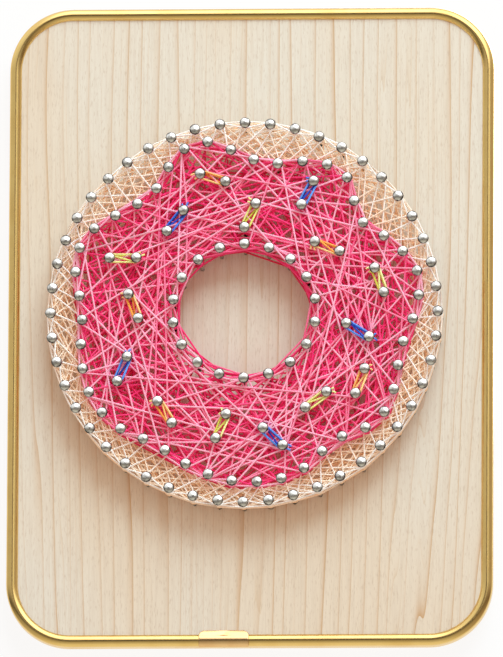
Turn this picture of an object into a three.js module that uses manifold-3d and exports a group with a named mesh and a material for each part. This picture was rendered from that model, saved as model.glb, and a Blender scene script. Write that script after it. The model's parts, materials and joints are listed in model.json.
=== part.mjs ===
// String-art wall panel: a doughnut drawn in thread on nails, on a wooden board with a brass rim.
//
// Millimetres. The pieces are laid out face up, with x to the right, y up the panel and z out of its
// face, from the centre of the board's back. The last lines stand the panel up: the part's origin is on
// the wall, where the hook carries the hanging ring, +Z is up and +Y points into the wall.
import * as THREE from "three";
import { mergeVertices } from "three/addons/utils/BufferGeometryUtils.js";
import Module from "manifold-3d";

const wasm = await Module();
wasm.setup();

// ---------------------------------------------------------------- driving sizes

const panel = { width: 182, height: 244, corner: 24 };
const rim = { width: 4.6, wall: 1.4, lip: 1.3, bead: 2.1, seam: 0.4 };
const board = { thickness: 5, play: 0.1 };
const clip = { length: 18.8, centre: -9.4, sheet: 0.5, foot: 1.5, corner: 1.8, play: 0.1 };

const nail = { length: 19, depth: 4, shank: 0.75, head: 2.1, edge: 0.3, dome: 1.1, tip: 1.6, sides: 6 };
const hole = { play: 0.1, spare: 0.3 };

// The doughnut, measured from its own centre, which lies a little off the board's.
const doughnut = { x: -1.8, y: 2.55 };
const dough = { radius: 72.4, nails: 48 };
const eye = { across: 27, up: 25.7, lift: 0.5, nails: 18 };
const icing = { nails: 44, start: 0 };
const icingOutline = [
  [-60.6, 1], [-63.2, 15], [-60, 28.5], [-49.5, 36.4], [-37, 43.6], [-30.5, 51], [-26.5, 59.5], [-15.5, 65.2],
  [-1, 60.2], [8, 56.8], [26, 57.4], [37, 53], [40.6, 44], [42.4, 36], [55.2, 26.6], [64.4, 16], [64.8, 3],
  [58.8, -14], [56, -30], [50, -41.6], [35, -48.6], [19, -61.8], [1, -64.8], [-15.4, -61], [-32.5, -50.6],
  [-48.8, -42.2], [-58.4, -29], [-61, -12],
];

// Each sprinkle is a pair of nails: its middle, its slope in degrees and the thread's colour.
const sprinkleGap = 10;
const sprinkles = [
  [-12, 51.5, -18, "orange"], [-26, 35, 52, "blue"], [2, 37, 65, "lime"], [23.5, 45.5, 63, "blue"],
  [-45.5, 21, 0, "lime"], [-41.5, 2.5, 112, "orange"], [31, 25, -21, "orange"], [50.5, 12, 110, "lime"],
  [42.5, -7, -31, "blue"], [-45.5, -21.5, 69, "blue"], [43.5, -26.5, 70, "orange"],
  [-29.5, -38, 123, "orange"], [-8.5, -43.5, 67, "lime"], [27, -33.5, 37, "lime"], [11, -47.5, -42, "blue"],
];

// Heights of the thread over the board's face: the two webs, the bands round the nails, the sprinkles.
const doughWeb = { from: 6, to: 10 };
const icingWeb = { from: 6.5, to: 11 };
const outlineBand = { from: 9.4, to: 10.4, width: 0.8 };
const sprinkleBand = { from: 11.3, to: 13, width: 0.8 };
const threadPlay = { nail: 0.1, web: 0.4 };

// What lies against the board's back or against the strap stands off it by this much.
const rest = 0.2;
const strap = { width: 10, sheet: 0.8, barrel: 8, fromTop: 26, tail: 5.5, corner: 2 };
const ring = { wire: 1, inside: 11, height: 10, corner: 1.6, play: 0.2, joint: 0.3 };
const screw = { shank: 1.4, head: 2.75, headHeight: 1.4, depth: 3.8, fromRing: 0.6, play: 0.2 };
const bumper = { radius: 5, fromEdge: 15.5, spare: 0.5 };

// ---------------------------------------------------------------- materials

const paint = (color, roughness, metalness) =>
  new THREE.MeshStandardMaterial({ color, roughness, metalness });
const materials = {
  wood: paint(0xe6d2bb, 0.6, 0),
  brass: paint(0xc79a4b, 0.25, 1),
  steel: paint(0xc4c8c6, 0.18, 1),
  zinc: paint(0xb9bcbf, 0.35, 1),
  felt: paint(0x4a4642, 0.95, 0),
  cream: paint(0xf3ddc4, 0.7, 0),
  pink: paint(0xe8306b, 0.6, 0),
  orange: paint(0xf29a3d, 0.6, 0),
  lime: paint(0xd6d25a, 0.6, 0),
  blue: paint(0x2a5cc8, 0.6, 0),
};

// ---------------------------------------------------------------- joining and cutting

// A geometry's closed surface, without the collapsed triangles that a turned shape has on its axis.
function solid(geometry) {
  const bare = geometry.clone();
  bare.deleteAttribute("normal");
  bare.deleteAttribute("uv");
  const merged = mergeVertices(bare, 1e-4);
  const corners = Array.from(merged.index.array);
  const triVerts = [];
  for (let i = 0; i < corners.length; i += 3) {
    const [a, b, c] = corners.slice(i, i + 3);
    if (a !== b && b !== c && c !== a) triVerts.push(a, b, c);
  }
  return new wasm.Manifold(new wasm.Mesh({
    numProp: 3,
    vertProperties: merged.attributes.position.array,
    triVerts: new Uint32Array(triVerts),
  }));
}

function geometryOf(body) {
  const mesh = body.getMesh();
  return new THREE.BufferGeometry()
    .setAttribute("position", new THREE.BufferAttribute(mesh.vertProperties, 3))
    .setIndex(new THREE.BufferAttribute(mesh.triVerts, 1));
}

const join = (bodies) => bodies.reduce((all, body) => all.add(body));

// ---------------------------------------------------------------- outlines

function roundedRectangle(width, height, corner) {
  const outline = new THREE.Shape();
  const x = width / 2 - corner;
  const y = height / 2 - corner;
  outline.absarc(x, y, corner, 0, Math.PI / 2);
  outline.absarc(-x, y, corner, Math.PI / 2, Math.PI);
  outline.absarc(-x, -y, corner, Math.PI, 1.5 * Math.PI);
  outline.absarc(x, -y, corner, 1.5 * Math.PI, 2 * Math.PI);
  outline.closePath();
  return outline;
}

// The panel's outline moved in by some distance, which keeps its corners concentric.
const panelInset = (inset) =>
  roundedRectangle(panel.width - 2 * inset, panel.height - 2 * inset, panel.corner - inset);

function slab(shape, from, to, curveSegments = 5) {
  return new THREE.ExtrudeGeometry(shape, { depth: to - from, bevelEnabled: false, curveSegments })
    .translate(0, 0, from);
}

// A closed outline's points and outward directions, from any function of a share of the way round.
function around(curve, count, start = 0) {
  const step = 1e-3;
  return Array.from({ length: count }, (_, i) => {
    const t = (start + i / count) % 1;
    const point = curve(t);
    const along = curve((t + step) % 1).sub(curve((t - step + 1) % 1)).normalize();
    return { point, out: new THREE.Vector2(along.y, -along.x) };
  });
}

const offset = (stations, distance) =>
  stations.map(({ point, out }) => point.clone().addScaledVector(out, distance));

// A flat ring between two offsets of the same or different outlines.
function ringShape(outer, inner) {
  const shape = new THREE.Shape(outer);
  shape.holes.push(new THREE.Path(inner));
  return shape;
}

const ovalPoint = (across, up, lift) => (t) =>
  new THREE.Vector2(
    doughnut.x + across * Math.cos(2 * Math.PI * t),
    doughnut.y + lift + up * Math.sin(2 * Math.PI * t),
  );
const doughPoint = ovalPoint(dough.radius, dough.radius, 0);
const eyePoint = ovalPoint(eye.across, eye.up, eye.lift);

const icingCurve = new THREE.CatmullRomCurve3(
  icingOutline.map(([x, y]) => new THREE.Vector3(doughnut.x + x, doughnut.y + y, 0)).reverse(), true);
icingCurve.arcLengthDivisions = 600;
const icingPoint = (t) => {
  const { x, y } = icingCurve.getPointAt(t);
  return new THREE.Vector2(x, y);
};

// A regular polygon, a corner upwards, as the turned pieces have one too.
const polygon = ({ x, y }, radius, sides) =>
  new THREE.Path().setFromPoints(Array.from({ length: sides }, (_, i) => {
    const angle = 2 * Math.PI * (i / sides + 0.25);
    return new THREE.Vector2(x + radius * Math.cos(angle), y + radius * Math.sin(angle));
  }));

// ---------------------------------------------------------------- nails

const face = board.thickness;
const headTop = face + nail.length - nail.depth;
const headSeat = headTop - nail.edge - nail.dome;

// A domed wire nail, point down, turned about the z axis.
function nailSolid({ x, y }) {
  const point = face - nail.depth;
  const profile = [
    [0, point], [nail.shank, point + nail.tip], [nail.shank, headSeat], [nail.head, headSeat + nail.edge],
    [0, headTop],
  ].map(([radius, height]) => new THREE.Vector2(radius, height));
  return solid(new THREE.LatheGeometry(profile, nail.sides).rotateX(Math.PI / 2).translate(x, y, 0));
}

// The blind hole that a nail leaves in the board. It has the shank's own sides, and turns with it.
function nailHole({ x, y }) {
  const bottom = face - nail.depth - hole.spare;
  const turned = new THREE.CylinderGeometry(
    nail.shank + hole.play, nail.shank + hole.play, nail.depth + hole.spare + 1, nail.sides);
  return solid(turned.rotateX(Math.PI / 2).translate(x, y, (bottom + face + 1) / 2));
}

const doughNails = around(doughPoint, dough.nails);
const eyeNails = around(eyePoint, eye.nails, 0.5 / eye.nails);
const icingNails = around(icingPoint, icing.nails, icing.start);

const sprinkleNails = sprinkles.map(([x, y, slope, colour]) => {
  const angle = (slope * Math.PI) / 180;
  const reach = new THREE.Vector2(Math.cos(angle), Math.sin(angle)).multiplyScalar(sprinkleGap / 2);
  const middle = new THREE.Vector2(doughnut.x + x, doughnut.y + y);
  return { colour, ends: [middle.clone().sub(reach), middle.clone().add(reach)], slope };
});

// A row of nails in one piece, joined by the band of thread that is wound from nail to nail.
function nailRow(stations) {
  const half = outlineBand.width / 2;
  const band = slab(ringShape(offset(stations, half), offset(stations, -half)),
    face + outlineBand.from, face + outlineBand.to);
  return geometryOf(join([solid(band), ...stations.map(({ point }) => nailSolid(point))]));
}

// ---------------------------------------------------------------- thread webs

const clearOfNails = nail.shank + threadPlay.web;

function doughWebGeometry() {
  const shape = ringShape(offset(doughNails, -clearOfNails), offset(icingNails, clearOfNails));
  return slab(shape, face + doughWeb.from, face + doughWeb.to);
}

function icingWebGeometry() {
  const shape = ringShape(offset(icingNails, -clearOfNails), offset(eyeNails, clearOfNails));
  for (const { ends } of sprinkleNails)
    for (const end of ends) shape.holes.push(polygon(end, nail.shank + threadPlay.nail, nail.sides));
  return slab(shape, face + icingWeb.from, face + icingWeb.to);
}

// One sprinkle's winding: a flat loop with round ends, open at its two nails.
function windingGeometry({ ends: [low, high], slope }) {
  const radius = nail.shank + threadPlay.nail + sprinkleBand.width;
  const angle = (slope * Math.PI) / 180;
  const shape = new THREE.Shape();
  shape.absarc(high.x, high.y, radius, angle - Math.PI / 2, angle + Math.PI / 2);
  shape.absarc(low.x, low.y, radius, angle + Math.PI / 2, angle + 1.5 * Math.PI);
  shape.closePath();
  for (const end of [low, high]) shape.holes.push(polygon(end, nail.shank + threadPlay.nail, nail.sides));
  return slab(shape, face + sprinkleBand.from, face + sprinkleBand.to, 3);
}

// ---------------------------------------------------------------- board, rim and clip

const barrelHeight = panel.height / 2 - strap.fromTop;
// The ring can hang down over the strap without meeting the screw's head.
const screwBelow = ring.height + 2 * ring.wire + screw.fromRing + screw.head;
const screwPlace = new THREE.Vector2(0, barrelHeight - screwBelow);

function boardGeometry() {
  const nails = [
    ...doughNails.map(({ point }) => point), ...icingNails.map(({ point }) => point),
    ...eyeNails.map(({ point }) => point), ...sprinkleNails.flatMap(({ ends }) => ends),
  ];
  const screwHole = new THREE.CylinderGeometry(
    screw.shank + hole.play, screw.shank + hole.play, screw.depth + hole.spare + 1, 12)
    .rotateX(Math.PI / 2).translate(screwPlace.x, screwPlace.y, (screw.depth + hole.spare - 1) / 2);
  const plank = solid(slab(panelInset(rim.wall + board.play), 0, face));
  return geometryOf(plank.subtract(join([...nails.map(nailHole), solid(screwHole)])));
}

const rimBack = -board.play - rim.lip;
const rimFront = face + board.play + rim.lip;

// The rim is one bent bar, round on its front and back edges, with a groove for the board. Its ends
// meet at a seam in the bottom run, under the clip.
function rimGeometry() {
  const bar = panelInset(rim.bead);
  bar.holes.push(panelInset(rim.width - rim.bead));
  const bent = new THREE.ExtrudeGeometry(bar, {
    depth: rimFront - rimBack - 2 * rim.bead, bevelThickness: rim.bead, bevelSize: rim.bead, bevelSegments: 3,
    curveSegments: 5,
  }).translate(0, 0, rimBack + rim.bead);
  const groove = slab(panelInset(rim.wall), -board.play, face + board.play);
  const seam = new THREE.BoxGeometry(rim.seam, 4 * rim.width, 4 * face)
    .translate(clip.centre, -panel.height / 2 + rim.width, 0);
  return geometryOf(solid(bent).subtract(solid(groove)).subtract(solid(seam)));
}

// The clip is a strip of sheet pressed over the rim, across the seam. Its foot reaches past the rim onto
// the board, and its other edge wraps the rim's outer side, down to the level of the board's face.
function clipGeometry() {
  const bottom = -panel.height / 2;
  const wrap = clip.play + clip.sheet;
  const reach = rim.width + clip.foot;
  const section = (grow, width, corner) =>
    new THREE.ExtrudeGeometry(roundedRectangle(rimFront - rimBack + 2 * grow, width + grow, corner), {
      depth: clip.length, bevelEnabled: false, curveSegments: 3,
    })
      .rotateY(Math.PI / 2)
      .translate(clip.centre - clip.length / 2, bottom + (width - grow) / 2, (rimFront + rimBack) / 2);
  const outside = solid(section(wrap, reach, rim.bead + wrap));
  const inside = solid(section(clip.play, rim.width + clip.play, rim.bead + clip.play));
  const plan = roundedRectangle(clip.length, 2 * reach, clip.corner);
  const kept = solid(slab(plan, face + clip.play, 2 * rimFront, 4).translate(clip.centre, bottom, 0));
  return geometryOf(outside.subtract(inside).intersect(kept));
}

// ---------------------------------------------------------------- hanging gear

const boreRadius = ring.wire + ring.play;
const barrelRadius = boreRadius + strap.sheet;
const barrelDepth = -rest - barrelRadius;
const strapLength = screwBelow + strap.tail;

// A strap whose top end is rolled into a barrel for the ring's straight side.
function strapGeometry() {
  const plate = roundedRectangle(strap.width, strapLength, strap.corner);
  plate.holes.push(polygon({ x: 0, y: strapLength / 2 - screwBelow }, screw.shank + screw.play, 12));
  const flat = slab(plate, -rest - strap.sheet, -rest, 4).translate(0, barrelHeight - strapLength / 2, 0);
  const rolled = new THREE.CylinderGeometry(barrelRadius, barrelRadius, strap.barrel, 16)
    .rotateZ(Math.PI / 2).translate(0, barrelHeight, barrelDepth);
  const bore = new THREE.CylinderGeometry(boreRadius, boreRadius, 2 * strap.width, 16)
    .rotateZ(Math.PI / 2).translate(0, barrelHeight, barrelDepth);
  return geometryOf(solid(flat).add(solid(rolled)).subtract(solid(bore)));
}

// The ring is bent from one wire. Its butt joint is in the straight side, inside the barrel.
class RingPath extends THREE.Curve {
  constructor(path) {
    super();
    this.path = path;
  }

  getPoint(t) {
    const { x, y } = this.path.getPoint(t);
    return new THREE.Vector3(x, y, 0);
  }
}

const ringTop = ring.height + ring.wire;

function ringGeometry() {
  const half = ring.inside / 2 + ring.wire;
  const path = new THREE.Path();
  path.moveTo(ring.joint / 2, 0);
  path.lineTo(half - ring.corner, 0);
  path.absarc(half - ring.corner, ring.corner, ring.corner, -Math.PI / 2, 0);
  path.lineTo(half, ringTop - half);
  path.absarc(0, ringTop - half, half, 0, Math.PI);
  path.lineTo(-half, ring.corner);
  path.absarc(-half + ring.corner, ring.corner, ring.corner, Math.PI, 1.5 * Math.PI);
  path.lineTo(-ring.joint / 2, 0);
  return new THREE.ExtrudeGeometry(new THREE.Shape(polygon({ x: 0, y: 0 }, ring.wire, 8).getPoints()), {
    steps: 36, extrudePath: new RingPath(path), bevelEnabled: false,
  }).translate(0, barrelHeight, barrelDepth);
}

// A pan-head wood screw, seen from the board's back.
function screwGeometry() {
  const seat = -2 * rest - strap.sheet;
  const profile = [
    [0, seat - screw.headHeight], [screw.head * 0.7, seat - 0.85 * screw.headHeight], [screw.head, seat],
    [screw.shank, seat], [screw.shank, screw.depth - screw.shank], [0, screw.depth],
  ].map(([radius, height]) => new THREE.Vector2(radius, height));
  return new THREE.LatheGeometry(profile.reverse(), 12).rotateX(-Math.PI / 2).scale(1, 1, -1)
    .translate(screwPlace.x, screwPlace.y, 0);
}

// The bumpers keep the barrel off the wall.
const wallDepth = rest + 2 * barrelRadius + bumper.spare;
const bumperGeometry = () =>
  new THREE.CylinderGeometry(bumper.radius, bumper.radius, wallDepth - rest, 16).rotateX(Math.PI / 2);

// ---------------------------------------------------------------- the assembly

const laidOut = new THREE.Group();

function place(name, geometry, material, at = [0, 0, 0]) {
  const mesh = new THREE.Mesh(geometry, material);
  mesh.name = name;
  mesh.position.set(...at);
  laidOut.add(mesh);
}

place("board", boardGeometry(), materials.wood);
place("rim", rimGeometry(), materials.brass);
place("seam_clip", clipGeometry(), materials.brass);

place("dough_nails", nailRow(doughNails), materials.steel);
place("icing_nails", nailRow(icingNails), materials.steel);
place("eye_nails", nailRow(eyeNails), materials.steel);
place("dough_thread", doughWebGeometry(), materials.cream);
place("icing_thread", icingWebGeometry(), materials.pink);

sprinkleNails.forEach((sprinkle, i) => {
  const name = `sprinkle_${String(i + 1).padStart(2, "0")}`;
  place(`${name}_nail_a`, geometryOf(nailSolid(sprinkle.ends[0])), materials.steel);
  place(`${name}_nail_b`, geometryOf(nailSolid(sprinkle.ends[1])), materials.steel);
  place(`${name}_thread`, windingGeometry(sprinkle), materials[sprinkle.colour]);
});

place("hanger_strap", strapGeometry(), materials.zinc);
place("hanger_ring", ringGeometry(), materials.zinc);
place("hanger_screw", screwGeometry(), materials.zinc);

const bumperX = panel.width / 2 - bumper.fromEdge;
const bumperY = panel.height / 2 - bumper.fromEdge;
for (const [name, x, y] of [
  ["top_left", -bumperX, bumperY], ["top_right", bumperX, bumperY],
  ["bottom_left", -bumperX, -bumperY], ["bottom_right", bumperX, -bumperY],
]) place(`bumper_${name}`, bumperGeometry(), materials.felt, [x, y, -(wallDepth + rest) / 2]);

const hookHeight = barrelHeight + ring.height;
laidOut.position.set(0, -wallDepth, -hookHeight);
laidOut.rotation.x = Math.PI / 2;

const part = new THREE.Group();
part.add(laidOut);

export default part;
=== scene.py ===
"""The looks of a string-art wall panel: a doughnut of coloured thread wound on nails in a brass-rimmed board.

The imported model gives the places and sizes. The frame is in metres, with x to the right, y into the wall and
z up. Pieces on the board are worked out in the panel's own terms, which are across (x), up (z) and out (the
height over the board's face), and are turned into the frame as they become meshes.
"""

import json
import math

import bpy
import numpy as np
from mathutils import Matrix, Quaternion, Vector


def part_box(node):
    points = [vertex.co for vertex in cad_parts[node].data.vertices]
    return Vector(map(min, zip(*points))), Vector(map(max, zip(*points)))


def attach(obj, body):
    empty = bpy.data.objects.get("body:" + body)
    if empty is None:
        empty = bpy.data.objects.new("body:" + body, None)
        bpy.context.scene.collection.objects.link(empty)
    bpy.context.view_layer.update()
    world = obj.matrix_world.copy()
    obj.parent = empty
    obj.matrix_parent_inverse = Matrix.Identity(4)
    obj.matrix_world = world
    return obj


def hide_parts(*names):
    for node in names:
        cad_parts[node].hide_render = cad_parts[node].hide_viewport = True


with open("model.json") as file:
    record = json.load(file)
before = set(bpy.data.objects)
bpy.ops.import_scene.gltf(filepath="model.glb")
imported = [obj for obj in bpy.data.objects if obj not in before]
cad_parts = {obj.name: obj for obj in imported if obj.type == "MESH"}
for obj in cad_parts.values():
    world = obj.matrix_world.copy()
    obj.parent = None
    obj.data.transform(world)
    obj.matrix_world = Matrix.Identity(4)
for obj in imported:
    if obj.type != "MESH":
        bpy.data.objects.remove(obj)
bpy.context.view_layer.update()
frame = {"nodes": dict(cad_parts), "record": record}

MM = 0.001
rng = np.random.default_rng(11)


# ---------------------------------------------------------------- places and sizes

def box_of(node):
    """A node's lowest and highest corners, as arrays."""
    low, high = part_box(node)
    return np.array(low), np.array(high)


BOARD_LOW, BOARD_HIGH = box_of("board")
FACE = BOARD_LOW[1]
RIM_LOW, RIM_HIGH = box_of("rim")
RIM_MIDDLE = (RIM_LOW + RIM_HIGH) / 2
CLIP_LOW, CLIP_HIGH = box_of("seam_clip")

RIM_WIDTH = 4.6 * MM
RIM_ROUND = 2.2 * MM
RIM_WALL = 1.4 * MM
RIM_CORNER = 24 * MM
RIM_SEAM = 0.06 * MM
PLAY = 0.1 * MM
CLIP_SHEET = 0.5 * MM
CLIP_CORNER = 2.2 * MM
STRAP_SHEET = 0.8 * MM
STRAP_CORNER = 2 * MM
RING_WIRE = 1 * MM

SHANK = 0.75 * MM
HEAD = 2.1 * MM
HEAD_TOP = FACE - box_of("dough_nails")[0][1]
NAIL_POINT = FACE - box_of("dough_nails")[1][1]

PINK_THREAD = 0.36 * MM
CREAM_THREAD = 0.31 * MM
SPRINKLE_THREAD = 0.36 * MM
PINK_HEIGHTS = (7.0 * MM, 12.0 * MM)
CREAM_HEIGHTS = (5.6 * MM, 10.4 * MM)
SPRINKLE_HEIGHTS = (11.6 * MM, 13.2 * MM)


def nail_places(node):
    """The middles of a row's nails, across and up: the corners at the row's foremost depth are the tops of the
    domed heads, one for each nail. They are put in order round the row's middle."""
    mesh = frame["nodes"][node].data
    corners = np.empty(3 * len(mesh.vertices))
    mesh.vertices.foreach_get("co", corners)
    corners = corners.reshape(-1, 3)
    tops = corners[corners[:, 1] < corners[:, 1].min() + 0.02 * MM][:, [0, 2]]
    places = np.unique(np.round(tops / (0.01 * MM)), axis=0) * 0.01 * MM
    turn = np.arctan2(*(places - places.mean(axis=0)).T[::-1])
    return places[np.argsort(turn)]


class Nails:
    """Nails by the places of their heads and by their leans, which are how far the shank moves across and up for
    each unit of height."""

    def __init__(self, heads, leans):
        self.heads = heads
        self.leans = leans

    def at(self, which, heights):
        """The middles of some nails' shanks, each at its own height over the board's face."""
        return self.heads[which] - self.leans[which] * (HEAD_TOP - np.asarray(heights))[..., None]

    def only(self, which):
        """One of the nails, as a row of its own."""
        return Nails(self.heads[which:which + 1], self.leans[which:which + 1])


LEAN_SPREAD = 0.022
LEAN_LIMIT = 0.045


def leaning(heads, outward=0.0):
    """Nails that lean at random, and by a mean amount away from their middle."""
    spoke = heads - heads.mean(axis=0)
    spoke /= np.linalg.norm(spoke, axis=1, keepdims=True)
    return Nails(heads, outward * spoke + rng.normal(0, LEAN_SPREAD, heads.shape).clip(-LEAN_LIMIT, LEAN_LIMIT))


SPRINKLES = sorted({node.rsplit("_nail_", 1)[0] for node in frame["nodes"] if "_nail_" in node})
SLOT_OF = {part["node"]: part["material_slot"] for part in frame["record"]["subparts"]}
dough_nails = leaning(nail_places("dough_nails"), -0.02)
icing_nails = leaning(nail_places("icing_nails"), -0.01)
eye_nails = leaning(nail_places("eye_nails"), 0.07)
sprinkle_nails = leaning(np.array([
    sum(box_of(f"{sprinkle}_nail_{end}"))[[0, 2]] / 2 for sprinkle in SPRINKLES for end in "ab"
]))
DOUGH_MIDDLE = dough_nails.heads.mean(axis=0)


# ---------------------------------------------------------------- shader graphs

def srgb(red, green, blue):
    """A colour on the 0 to 255 scale of a paint chart, as linear light."""
    share = np.array([red, green, blue]) / 255
    linear = np.where(share <= 0.04045, share / 12.92, ((share + 0.055) / 1.055) ** 2.4)
    return (*linear.tolist(), 1.0)


class Value:
    """A shader socket that Python's operators work on. Each operator adds the Math node that does it."""

    def __init__(self, graph, socket):
        self.graph = graph
        self.socket = socket

    def math(self, operation, *others):
        """One Math node, with this value in its first socket and the others after it."""
        return self.graph.add("Math", {"operation": operation}, dict(enumerate((self, *others))))

    def __add__(self, other):
        return self.math("ADD", other)

    __radd__ = __add__

    def __mul__(self, other):
        return self.math("MULTIPLY", other)

    __rmul__ = __mul__

    def __sub__(self, other):
        return self.math("SUBTRACT", other)

    def __rsub__(self, other):
        return self.graph.add("Math", {"operation": "SUBTRACT"}, {0: other, 1: self})

    def __pow__(self, other):
        return self.math("POWER", other)

    def between(self, low, high):
        """0 at low, 1 at high, and a smooth change from one to the other. Low may be the greater of the two."""
        return self.graph.add(
            "MapRange", {"interpolation_type": "SMOOTHSTEP"}, {"Value": self, "From Min": low, "From Max": high}
        )


class Graph:
    """The nodes of one material or of the world."""

    def __init__(self, tree):
        self.tree = tree
        tree.nodes.clear()

    def add(self, kind, settings=None, inputs=None, output=0):
        """A node of a kind, with its settings made first and then its sockets' values and links. Stops are the
        places and colours of a colour ramp."""
        node = self.tree.nodes.new(f"ShaderNode{kind}")
        for name, setting in (settings or {}).items():
            if name == "stops":
                ramp = node.color_ramp.elements
                while len(ramp) < len(setting):
                    ramp.new(0.5)
                for element, (position, colour) in zip(ramp, setting):
                    element.position = position
                    element.color = colour
            else:
                setattr(node, name, setting)
        for name, value in (inputs or {}).items():
            if isinstance(value, Value):
                self.tree.links.new(value.socket, node.inputs[name])
            else:
                node.inputs[name].default_value = value
        return Value(self, node.outputs[output]) if node.outputs else None

    def mix(self, share, low, high):
        """Two colours mixed by a share."""
        return self.add("Mix", {"data_type": "RGBA"}, {0: share, 6: low, 7: high}, 2)

    def place(self, scale):
        """The place on a piece, with each axis multiplied by its own scale."""
        where = self.add("TexCoord", output=3)
        return self.add("VectorMath", {"operation": "MULTIPLY"}, {0: where, 1: scale})

    def noise(self, where, detail=2.0, roughness=0.5, lift=0.0):
        """Cloudy noise from about 0 to 1. The lift picks another noise at the same place."""
        return self.add(
            "TexNoise", {"noise_dimensions": "4D"},
            {"Vector": where, "W": lift, "Scale": 1.0, "Detail": detail, "Roughness": roughness},
        )

    def parts(self, vector):
        """A vector's three numbers."""
        split = self.add("SeparateXYZ", inputs={0: vector}).socket.node
        return [Value(self, socket) for socket in split.outputs]

    def bump(self, height, distance, strength):
        """A normal that a height bends. The distance is the height's full scale in metres."""
        return self.add("Bump", inputs={"Height": height, "Distance": distance, "Strength": strength})


def finish_material(name, paint):
    """A material whose shader sockets are what paint(graph) returns."""
    material = bpy.data.materials.new(name)
    material.use_nodes = True
    graph = Graph(material.node_tree)
    shader = graph.add("BsdfPrincipled", inputs=paint(graph))
    graph.add("OutputMaterial", inputs={"Surface": shader})
    return material


# ---------------------------------------------------------------- materials

RINGS_PER_METRE = 172


def wood_finish(graph):
    """Pale wood with upright grain. The growth rings are a sawtooth of the place across the board, which draws
    together towards the bottom and is bent by slow noise; each ring has a strength of its own, a thin dark edge
    and a soft shade before it. Finer rings lie between them. Fibres and pores are noise stretched up the board."""
    across, _, up = graph.parts(graph.add("TexCoord", output=3))
    down = (BOARD_HIGH[2] - up) * (1 / (BOARD_HIGH[2] - BOARD_LOW[2]))
    spread = (across + 0.008) * (down * down * 0.13 + 1)
    sway = graph.noise(graph.place((9, 9, 5)), detail=1.0) - 0.5
    drift = graph.noise(graph.place((70, 70, 1.5)), detail=2.0, lift=3.0) - 0.5
    ring = spread * RINGS_PER_METRE + sway * 1.6 + drift * 3.4
    count = ring.math("FLOOR")
    share = ring - count
    strength = graph.add("TexWhiteNoise", {"noise_dimensions": "1D"}, {"W": count})
    line = share ** 14 * (strength * 0.7 + 0.3)
    shade = share ** 4 * strength
    fine = (ring * 3.3 + drift * 5).math("FRACT") ** 10
    patchy = graph.noise(graph.place((120, 120, 14)), detail=2.0, lift=9.0).between(0.4, 0.7)
    fibre = graph.noise(graph.place((1500, 1500, 60)), detail=3.0, roughness=0.65)
    fleck = graph.noise(graph.place((2300, 2300, 420)), detail=2.0, lift=1.0)
    warm = graph.noise(graph.place((16, 16, 7)), detail=2.0, lift=5.0)
    flame = graph.noise(graph.place((34, 34, 12)), detail=3.0, lift=12.0).between(0.6, 0.78)
    pale = graph.mix(warm.between(0.35, 0.65), srgb(232, 226, 214), srgb(233, 220, 201))
    tanned = graph.mix(line + shade * 0.2, pale, srgb(206, 166, 122))
    ringed = graph.mix(fine * patchy * 0.55, tanned, srgb(212, 182, 144))
    flamed = graph.mix(flame * 0.2, ringed, srgb(216, 188, 158))
    fibred = graph.mix(fibre.between(0.4, 0.66) * 0.24, flamed, srgb(206, 188, 168))
    flecked = graph.mix(fleck.between(0.54, 0.7) * 0.35, fibred, srgb(196, 172, 148))
    return {
        "Base Color": flecked,
        "Roughness": 0.55 + fibre * 0.16,
        "Normal": graph.bump(fibre * 0.6 - line * 0.6 - fleck * 0.5, 0.00006, 0.5),
        "Specular IOR Level": 0.3,
    }


SCRATCH_DEPTH = 0.01 * MM


def metal_finish(colour, dull, polish, spread=0.12):
    """A bright metal: slow clouding of its colour and polish, and hair scratches."""

    def paint(graph):
        cloud = graph.noise(graph.place((90, 90, 90)), detail=3.0)
        speck = graph.noise(graph.place((1400, 1400, 1400)), detail=2.0, lift=2.0)
        hair = graph.noise(graph.place((3200, 3200, 240)), detail=2.0, lift=4.0)
        return {
            "Base Color": graph.mix(cloud.between(0.35, 0.75) * 0.6 + speck.between(0.6, 0.8) * 0.3, colour, dull),
            "Metallic": 1.0,
            "Roughness": polish + cloud.between(0.3, 0.8) * spread + hair.between(0.55, 0.8) * 0.06,
            "Normal": graph.bump(hair + speck * 0.5, SCRATCH_DEPTH, 0.6),
        }

    return paint


def nail_finish(graph):
    """Nickel plate on wire nails, bright on the crown of the head and with dark oxide blotches on it. A mark that
    rises from 0 on the crown to 1 darkens it towards the head's edge and under it as painted shade, and down the
    shank as a painted shadow."""
    mark = graph.add("Attribute", {"attribute_name": "tarnish"}, output=2)
    blotch = graph.noise(graph.place((650, 650, 650)), detail=2.0)
    grit = graph.noise(graph.place((2600, 2600, 2600)), detail=2.0, lift=3.0)
    # Painted shade at the head's edge and down the shank, together with random dark blotches.
    dark = mark.between(0.66, 1.0) * 0.7 + blotch.between(0.48, 0.58) * 0.4
    shaded_and_blotched = graph.mix(dark.between(0.0, 1.0), srgb(250, 251, 250), srgb(70, 66, 68))
    return {
        "Base Color": graph.mix(grit.between(0.55, 0.75) * 0.2, shaded_and_blotched, srgb(120, 114, 110)),
        "Metallic": 1.0,
        "Roughness": 0.14 + blotch.between(0.4, 0.7) * 0.2 + grit * 0.08,
        "Normal": graph.bump(blotch + grit * 0.12, 0.00016, 0.6),
    }


TWISTS_PER_METRE = 900
THREAD_GLOW = 0.09


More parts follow.
